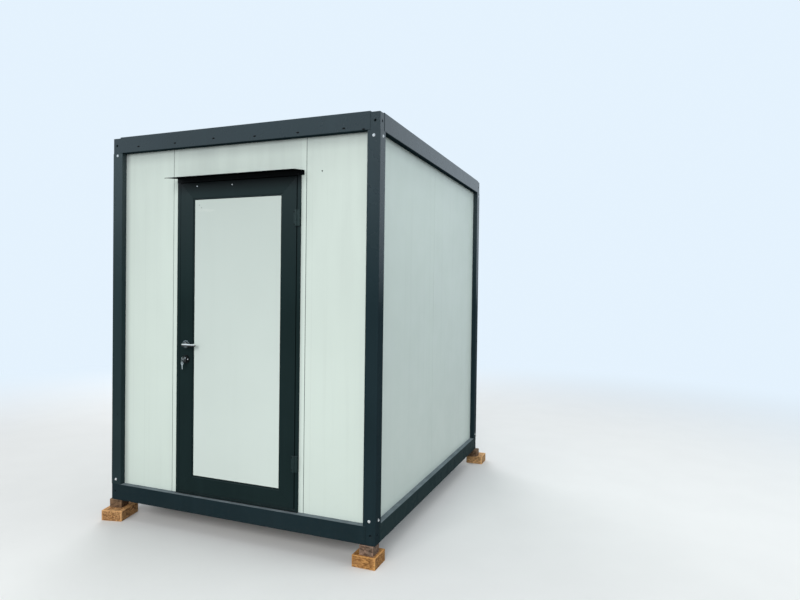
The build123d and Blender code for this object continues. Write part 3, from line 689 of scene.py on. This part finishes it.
def timber_block(name, node, side_x, side_y, look, pith, wear, rng):
    """An offcut with rounded, bruised arrises. Its object sits on the pith, so rings run round it."""
    centre, ahead, (length, width), low, high = footprint(node, side_x, side_y)
    half = Vector((length, width, high - low)) / 2
    seed = Vector((rng.uniform(0, 50), rng.uniform(0, 50), rng.uniform(0, 50)))
    bm = bmesh.new()
    bmesh.ops.create_cube(bm, size=2.0)
    bmesh.ops.subdivide_edges(bm, edges=bm.edges, cuts=22, use_grid_fill=True)
    for vert in bm.verts:
        point = Vector(c * h for c, h in zip(vert.co, half))
        chip = noise.noise(point * 26 + seed)
        bruise = max(0.0, noise.noise(point * 9 - seed) - 0.12)
        arris = 0.0016 + wear * (0.5 + 0.5 * chip) + wear * 2.2 * bruise
        core = Vector(max(-h + arris, min(h - arris, c)) for c, h in zip(point, half))
        edge = point - core
        if edge.length > 0:
            point = core + edge.normalized() * min(edge.length, arris)
        dent = 0.0007 * (1 + noise.noise(point * 18 - seed)) * (1 if abs(vert.co.z) < 0.999 else 0.3)
        vert.co = point - Vector(math.copysign(dent, c) if abs(c) > 0.999 else 0.0 for c in vert.co)
    offset = Vector((0.0, *pith))
    bmesh.ops.translate(bm, verts=bm.verts, vec=-offset)
    mesh = finish_mesh(bm, name)
    turn = Matrix.Rotation(math.atan2(ahead.y, ahead.x), 4, "Z")
    place = Matrix.Translation((*centre, (low + high) / 2)) @ turn @ Matrix.Translation(offset)
    return piece(name, mesh, look, "cabin", at=place)


def timber():
    """Two blocks under each corner, every one with its own wood and its own pith beside or in it."""
    rng = random.Random(11)
    # A look for each corner, and where the pith lies from the block's centre, across and up.
    blocks = {
        "lower_blocks": (("pine", (0.02, -0.17)), ("gold_pine", (-0.03, -0.15)),
                         ("pine", (0.02, 0.14)), ("tan_pine", (-0.03, -0.13))),
        "upper_blocks": (("brown_pine", (0.055, 0.01)), ("old_pine", (0.05, -0.04)),
                         ("old_pine", (-0.05, 0.03)), ("brown_pine", (0.01, 0.06))),
    }
    quarters = (("front_left", -1, -1), ("front_right", 1, -1),
                ("rear_left", -1, 1), ("rear_right", 1, 1))
    for node, wear in (("lower_blocks", 0.0012), ("upper_blocks", 0.0022)):
        for (corner, side_x, side_y), (look, pith) in zip(quarters, blocks[node]):
            block = timber_block(f"{node[:-1]}_{corner}", node, side_x, side_y, look, pith, wear, rng)
            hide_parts(node)


timber()


# ---------------------------------------------------------------- handle, lock and keys

def middle(node):
    """Centre of a node's box."""
    low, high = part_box(node)
    return (low + high) / 2


HANDLE, LOCK, KEY = middle("lever_roses"), middle("lock_cylinders"), middle("lock_key")
ROSE_DEPTH = 0.008


def lever_handle(name, out):
    """Satin bar lever with rounded bends, on the side of the leaf that out points to.

    It is shorter than the CAD lever that it replaces and stands further in. back is its return's length.
    """
    inward, shorter, back = 0.003, 0.009, 0.0145
    low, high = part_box(name)
    radius = (high.z - low.z) / 2
    grip_y = (low.y if out < 0 else high.y) - out * (radius + inward)
    face = LEAF_FACE if out < 0 else LEAF_BACK
    right, away = Vector((1, 0, 0)), Vector((0, out, 0))
    root = Vector((HANDLE.x, face + out * ROSE_DEPTH, HANDLE.z))
    elbow = Vector((HANDLE.x, grip_y, HANDLE.z))
    turn = Vector((high.x - radius - shorter, grip_y, HANDLE.z))
    path = [root - away * 0.004, root, *bend(elbow, -away, right, 0.015),
            *bend(turn, -right, -away, 0.013), turn - away * back]
    bm = bmesh.new()
    add_tube(bm, path, radius - 0.0001, 28, tip=0.0016)
    collar = [(radius, 0.0), (radius + 0.0022, 0.0), (radius + 0.0022, 0.0025),
              (radius + 0.0014, 0.0034), (radius - 0.0002, 0.0036)]
    add_lathe(bm, collar, facing(root, away), 28)
    lever = piece(f"{name}_bar", finish_mesh(bm, name), "stainless", "handle")
    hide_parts(name)


def lever_rose(name, face, out):
    """Sprung rose: a base ring, a fine seam and a cover with a rounded rim."""
    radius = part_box("lever_roses")[1].x - HANDLE.x
    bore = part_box("lever_outer")[1].z - HANDLE.z + 0.0003
    profile = [(bore, 0), (radius, 0), (radius, 0.0016), (radius - 0.0006, 0.0019),
               (radius - 0.0006, 0.0024), (radius, 0.0027), (radius, 0.0060), (radius - 0.0006, 0.0073),
               (radius - 0.0020, ROSE_DEPTH), (bore + 0.0036, ROSE_DEPTH), (bore + 0.0030, 0.0076),
               (bore, 0.0076), (bore, 0)]
    bm = bmesh.new()
    add_lathe(bm, profile, facing((HANDLE.x, face, HANDLE.z), (0, out, 0)), 48)
    rose = piece(name, finish_mesh(bm, name), "rose", "door")
    rose.modifiers.new("edges", "EDGE_SPLIT").split_angle = math.radians(35)
    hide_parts("lever_roses")


for lever_name, way in (("lever_outer", -1), ("lever_inner", 1)):
    lever_handle(lever_name, way)
lever_rose("rose_outer", LEAF_FACE, -1)
lever_rose("rose_inner", LEAF_BACK, 1)


def lock_screws():
    """A screw at each side of the cylinder, in both lock roses."""
    low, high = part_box("lock_roses")
    places = [facing((LOCK.x + dx, y, LOCK.z), (0, out, 0), dx * twist)
              for y, out, twist in ((low.y, -1, 40), (high.y, 1, 60)) for dx in (-0.019, 0.019)]
    fasteners("lock_rose_screws", countersunk, places, "zinc", "door")


def key_outline(bow, shoulder, length):
    """Half-round bow, shoulder and a blade cut with bittings, hanging down from its bow."""
    rim = [(bow * math.sin(a), bow * math.cos(a))
           for a in (math.radians(d) for d in range(-150, 151, 12))]
    down = -bow * 0.86
    left = [(-shoulder, down - 0.003), (-0.0042, down - 0.0045)]
    bits = [(-0.0042, 0.010), (-0.0026, 0.0125), (-0.0040, 0.0150), (-0.0018, 0.0175), (-0.0034, 0.0200),
            (-0.0014, 0.0225), (-0.0030, 0.0250), (-0.0010, 0.0280)]
    left += [(x, down - d * length / 0.030) for x, d in bits]
    right = [(0.0028, down - length + 0.0015), (0.0042, down - length * 0.88), (0.0042, down - 0.0045),
             (shoulder, down - 0.003)]
    return rim + right[::-1] + left[::-1]


def spare_keys():
    """Split ring through the bow of the key in the lock, with the spare key hanging from it."""
    wire, radius, turns, steps = 0.00055, 0.0121, 2.15, 120
    # The eye of the key in the lock, and the ring's centre under it.
    eye = Vector((KEY.x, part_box("lock_key")[0].y + 0.0055, KEY.z))
    centre = eye - Vector((0, 0, radius + 0.0021))
    flat = Matrix.Translation(centre) @ Matrix.Rotation(math.radians(-24), 4, "Z")
    path = []
    for k in range(steps + 1):
        angle = 2 * math.pi * turns * k / steps + 0.6
        path.append(flat @ Vector((radius * math.cos(angle), (k / steps - 0.5) * 2.1 * wire * turns,
                                   radius * math.sin(angle))))
    bm = bmesh.new()
    add_tube(bm, path, wire, 8)
    piece("key_ring", finish_mesh(bm, "key_ring"), "nickel", "door")
    bm = bmesh.new()
    bow, hole, lift = 0.0120, 0.0050, 0.0028
    hang = centre - Vector((0, 0, radius + hole - 0.0012 + lift))
    place = Matrix.Translation(hang) @ Matrix.Rotation(math.radians(-12), 4, "Z")
    place = place @ Matrix.Rotation(math.radians(90), 4, "X")
    add_plate(bm, key_outline(bow, 0.0050, 0.030), 0.0022, place, [(0, lift, hole, 20)])
    piece("spare_key", finish_mesh(bm, "spare_key"), "nickel", "door", smooth=False)


def lock_plugs():
    """Turning plug in the face of each cylinder, with its keyway; the outer one holds the key."""
    bm, slots = bmesh.new(), bmesh.new()
    low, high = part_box("lock_cylinders")
    for y, out in ((low.y, -1), (high.y, 1)):
        place = facing((KEY.x, y, KEY.z), (0, out, 0))
        add_lathe(bm, [(0.0070, 0), (0.0070, 0.0006), (0.0066, 0.0009), (0, 0.0009)], place, 32)
        add_lathe(slots, [(0.0078, 0), (0.0078, 0.0003), (0.0069, 0.0003)], place, 32)
        if out > 0:
            add_bead(slots, (KEY.x, y + 0.0008, KEY.z - 0.0046), (KEY.x, y + 0.0008, KEY.z + 0.0046),
                     (0, 1, 0), 0.0016, 0.0003, 3)
    piece("lock_plugs", finish_mesh(bm, "lock_plugs"), "nickel", "door", smooth=False)
    piece("lock_plug_seams", finish_mesh(slots, "lock_plug_seams"), "dark_screw", "door", smooth=False)


lock_screws()
lock_plugs()
spare_keys()


# ---------------------------------------------------------------- screws, seals and trim of the door

def door_screws():
    """Countersunk screws of the hinge flaps, and two bright ones at the head of the leaf."""
    half_hinge, reach = 0.049, 0.038
    low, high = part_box("hinge_leaf_halves")
    centres = (high.z - half_hinge, low.z + half_hinge)
    on_leaf = [facing((low.x + 0.0045, LEAF_FACE - 0.004, z + dz), (0, -1, 0), dz * 90)
               for z in centres for dz in (-reach, reach)]
    jamb_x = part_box("hinge_jamb_halves")[1].x - 0.006
    jamb_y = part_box("door_head")[0].y - 0.004
    on_jamb = [facing((jamb_x, jamb_y, z + dz), (0, -1, 0), dz * 70)
               for z in centres for dz in (-reach, 0.0, reach)]
    fasteners("hinge_leaf_screws", countersunk, on_leaf, "dark_screw", "door")
    fasteners("hinge_jamb_screws", countersunk, on_jamb, "dark_screw", "cabin")
    head = [facing((x, LEAF_FACE, z), (0, -1, 0), x * 30) for x, z in ((-0.310, 2.277), (-0.034, 2.274))]
    fasteners("leaf_head_screws", countersunk, head, "zinc", "door")


def gasket_frame(name, x, y, z, out, width, height, body):
    """Rubber beads round a rectangle that spans x and z at one y, overlapping at its corners."""
    corners = [(x[0], y, z[0]), (x[1], y, z[0]), (x[1], y, z[1]), (x[0], y, z[1])]
    runs = [(corners[k], corners[(k + 1) % 4], (0, out, 0), width, height) for k in range(4)]
    beads(name, runs, "rubber", body)


def gaskets():
    """Gaskets round both faces of the infill, and one on the stop that the closed leaf meets."""
    inset = 0.0012
    low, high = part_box("leaf_infill")
    x, z = (low.x + inset, high.x - inset), (low.z + inset, high.z - inset)
    gasket_frame("infill_gasket_outer", x, low.y, z, -1, 0.0030, 0.0012, "door")
    gasket_frame("infill_gasket_inner", x, high.y, z, 1, 0.0030, 0.0012, "door")
    from_jamb, from_rail = 0.0325, 0.0025
    x = (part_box("door_jamb_lock_side")[0].x + from_jamb, JAMB - from_jamb)
    z = (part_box("leaf_bottom_rail")[0].z + from_rail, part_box("leaf_top_rail")[1].z - from_rail)
    gasket_frame("door_stop_gasket", x, LEAF_BACK + 0.005, z, -1, 0.009, 0.0040, "cabin")


def joint_shade_beads():
    """Beads of painted shade: grey ones in the upright joints of the front and rear walls, a rubber one
    along the door sill.
    """
    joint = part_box("front_wall_right")[0].x - 0.0005
    front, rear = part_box("front_wall_left")[0].y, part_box("rear_wall_left")[1].y
    narrow, wide = 0.0014, 0.0036
    runs = []
    for x, y, out, width in ((-joint, front, -1, narrow), (joint, front, -1, wide),
                             (-joint, rear, 1, narrow), (joint, rear, 1, narrow)):
        runs.append(((x, y, SILL + 0.001), (x, y, EAVES - 0.001), (0, out, 0), width, 0.0003, 3))
    beads("joint_shade_beads", runs, "sealant", "cabin")
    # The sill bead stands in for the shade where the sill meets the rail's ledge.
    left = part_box("door_jamb_lock_side")[0]
    y = left.y - 0.0035
    run = ((left.x, y, SILL), (JAMB, y, SILL), (0, 0, 1), 0.010, 0.0026)
    beads("sill_shade_bead", [run], "rubber", "cabin")


door_screws()
gaskets()
joint_shade_beads()


# ---------------------------------------------------------------- soft edges on the carried-over nodes

def soften(node, width):
    """Round a node's sharp edges by a width, so that they catch light as pressed sheet does."""
    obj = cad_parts[node]
    obj.modifiers.new("weld", "WELD").merge_threshold = 0.00002
    bevel = obj.modifiers.new("bevel", "BEVEL")
    bevel.width = width
    bevel.segments = 2
    bevel.limit_method = "ANGLE"
    bevel.angle_limit = math.radians(40)
    bevel.harden_normals = True


# Sheet, door parts, lock, roof and corner pieces, each with the radius of its own edges.
for node_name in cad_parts:
    if "_wall_" in node_name:
        soften(node_name, 0.0010)
    elif node_name.startswith(("leaf_", "door_jamb", "door_head", "door_sill")):
        soften(node_name, 0.0007)
    elif node_name in ("lock_roses", "lock_key", "lock_cylinders"):
        soften(node_name, 0.0005)
    elif node_name == "roof_panel":
        soften(node_name, 0.0020)
    elif node_name.endswith("corner_blocks"):
        soften(node_name, 0.0012)


# ---------------------------------------------------------------- camera, lights and stage

def add_camera():
    """The photograph's camera, as fitted to the frame's edges in it."""
    place, lens = (2.3576, -4.3020, 1.6070), 26.723
    yaw, pitch, roll = (math.radians(a) for a in (-21.323, -0.866, 0.747))
    ahead = Vector((math.sin(yaw) * math.cos(pitch), math.cos(yaw) * math.cos(pitch), math.sin(pitch)))
    right = Vector((math.cos(yaw), -math.sin(yaw), 0))
    up = right.cross(ahead)
    tilted_right = right * math.cos(roll) + up * math.sin(roll)
    tilted_up = up * math.cos(roll) - right * math.sin(roll)
    turn = Matrix((tilted_right, tilted_up, -ahead)).transposed().to_4x4()
    data = bpy.data.cameras.new("camera")
    data.sensor_width = 36
    data.lens = lens
    camera = bpy.data.objects.new("camera", data)
    camera.matrix_world = Matrix.Translation(place) @ turn
    bpy.context.scene.collection.objects.link(camera)
    bpy.context.scene.camera = camera


def add_softbox(name, place, target, size, power, colour):
    """A rectangular lamp aimed at a point, which no gloss mirrors."""
    data = bpy.data.lights.new(name, "AREA")
    data.shape = "RECTANGLE"
    data.size, data.size_y = size
    data.energy = power
    data.color = colour
    lamp = bpy.data.objects.new(name, data)
    look = (Vector(place) - Vector(target)).to_track_quat("Z", "Y")
    lamp.matrix_world = Matrix.Translation(place) @ look.to_matrix().to_4x4()
    lamp.visible_glossy = False
    bpy.context.scene.collection.objects.link(lamp)


def add_world(ambient):
    """Even light all round, with a pale backdrop where the camera, a gloss or clear stuff sees it."""
    world = bpy.data.worlds.new("studio")
    world.use_nodes = True
    bpy.context.scene.world = world
    nodes, links = world.node_tree.nodes, world.node_tree.links
    nodes.clear()
    lit, seen = nodes.new("ShaderNodeBackground"), nodes.new("ShaderNodeBackground")
    lit.inputs["Color"].default_value = (0.93, 0.97, 1.0, 1.0)
    lit.inputs["Strength"].default_value = ambient
    seen.inputs["Color"].default_value = BACKDROP
    seen.inputs["Strength"].default_value = 1.0
    path, mix = nodes.new("ShaderNodeLightPath"), nodes.new("ShaderNodeMixShader")
    either, any_ray = nodes.new("ShaderNodeMath"), nodes.new("ShaderNodeMath")
    either.operation = any_ray.operation = "MAXIMUM"
    links.new(path.outputs["Is Camera Ray"], either.inputs[0])
    links.new(path.outputs["Is Glossy Ray"], either.inputs[1])
    links.new(either.outputs[0], any_ray.inputs[0])
    links.new(path.outputs["Is Transmission Ray"], any_ray.inputs[1])
    links.new(any_ray.outputs[0], mix.inputs[0])
    links.new(lit.outputs[0], mix.inputs[1])
    links.new(seen.outputs[0], mix.inputs[2])
    links.new(mix.outputs[0], nodes.new("ShaderNodeOutputWorld").inputs["Surface"])


def add_floor():
    """A floor that keeps the shadow, is pale where it is seen and fades into the backdrop far off."""
    fade_from, fade_to = 3.2, 9.0
    bm = bmesh.new()
    add_lathe(bm, [(0, 0), (4, 0), (9, 0), (60, 0)], Matrix.Identity(4), 64)
    mesh = finish_mesh(bm, "floor")
    floor = bpy.data.objects.new("floor", mesh)
    bpy.context.scene.collection.objects.link(floor)
    f = Finish("pale_floor", 0.9, specular=0.1)
    pale = rgb(232, 233, 232)
    path = f.add("ShaderNodeLightPath")
    seen = f.math("MAXIMUM", path.outputs["Is Camera Ray"], path.outputs["Is Glossy Ray"])
    cloud = f.mix(f.span(f.noise(3, 4), 0.3, 0.7), shade(pale, 0.985), pale)
    f.colour(f.mix(seen, rgb(165, 166, 163), cloud))
    fade = f.times(f.span(f.vector("LENGTH", f.at, output="Value"), fade_from, fade_to), seen)
    glow = f.add("ShaderNodeEmission", {"Color": BACKDROP, "Strength": 1.0}).outputs[0]
    blend = f.add("ShaderNodeMixShader", {0: fade, 1: f.shader.outputs[0], 2: glow}).outputs[0]
    f.links.new(blend, f.nodes["Material Output"].inputs["Surface"])
    mesh.materials.append(f.material)


bpy.context.scene.view_settings.view_transform = "Standard"
add_camera()
add_world(0.40)
add_softbox("key", (1.6, -10.4, 5.2), (0, -0.6, 1.0), (9.0, 6.0), 880, (1.0, 0.99, 0.975))
add_softbox("fill", (8.6, 1.0, 5.4), (0.5, 0, 1.0), (6.0, 5.0), 264, (0.88, 0.95, 1.0))
add_softbox("top", (0.0, 0.5, 8.0), (0, 0, 0), (6.0, 6.0), 120, (0.94, 0.97, 1.0))
add_softbox("rear", (-6.0, 8.0, 5.4), (0, 0.4, 1.0), (7.0, 6.0), 640, (0.97, 0.98, 1.0))
add_floor()
